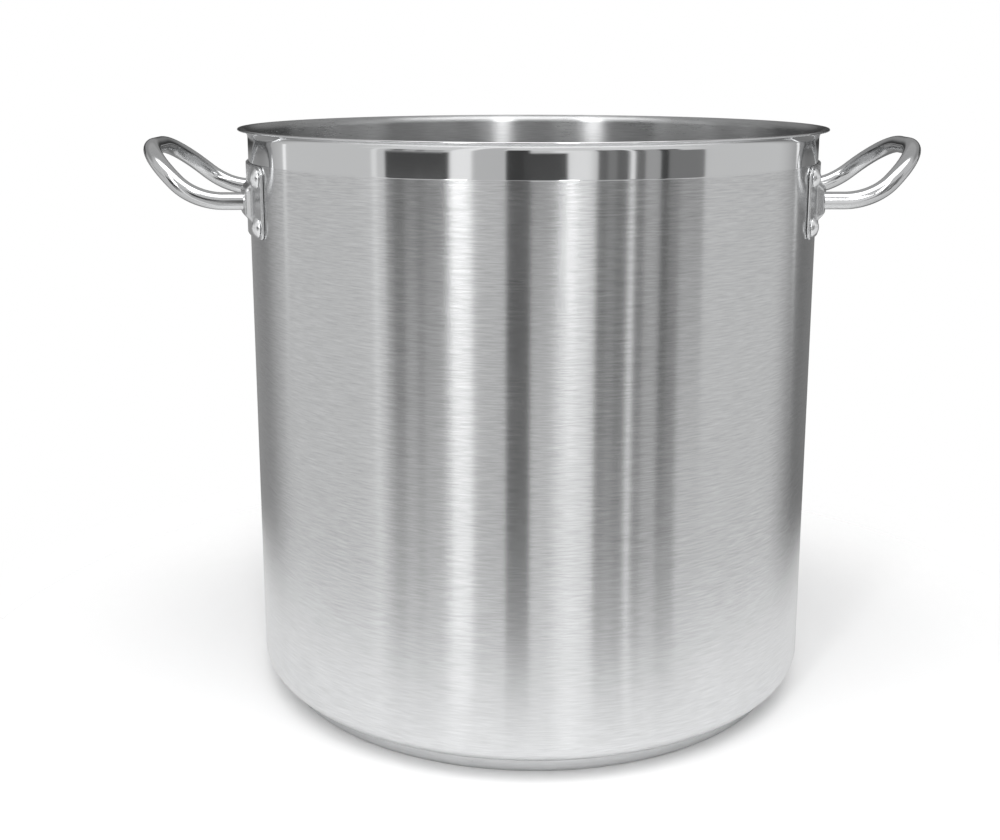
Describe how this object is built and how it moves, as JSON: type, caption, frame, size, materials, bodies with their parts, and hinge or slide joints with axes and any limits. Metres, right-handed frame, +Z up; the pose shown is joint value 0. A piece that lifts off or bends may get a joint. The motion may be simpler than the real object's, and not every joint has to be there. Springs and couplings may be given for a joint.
{
  "type": "brew kettle",
  "caption": "Straight-sided round stainless brew kettle with a flared rim, a clad flat base and two upswept riveted loop handles; no lid or tap.",
  "frame": {"origin": "centre of the underside of the base, on the surface the kettle stands on", "axes": "+Z up along the kettle's axis; +X towards one handle, -X towards the other; -Y is the front"},
  "size_m": [0.5464, 0.4136, 0.4],
  "materials": {
    "brushed_steel": "brushed round the body, mirror-bright band under the rim",
    "base_steel": "spun satin",
    "aluminium_core": "plain",
    "polished_steel": "polished stainless steel"
  },
  "bodies": {
    "root": {"pot_body": "brushed_steel", "base_heat_disc": "aluminium_core", "base_cap": "base_steel", "handle_right_tube": "polished_steel", "handle_right_bracket": "polished_steel", "rivet_right_front_upper": "polished_steel", "rivet_right_front_lower": "polished_steel", "rivet_right_rear_upper": "polished_steel", "rivet_right_rear_lower": "polished_steel", "handle_left_tube": "polished_steel", "handle_left_bracket": "polished_steel", "rivet_left_front_upper": "polished_steel", "rivet_left_front_lower": "polished_steel", "rivet_left_rear_upper": "polished_steel", "rivet_left_rear_lower": "polished_steel"}
  },
  "joints": []
}
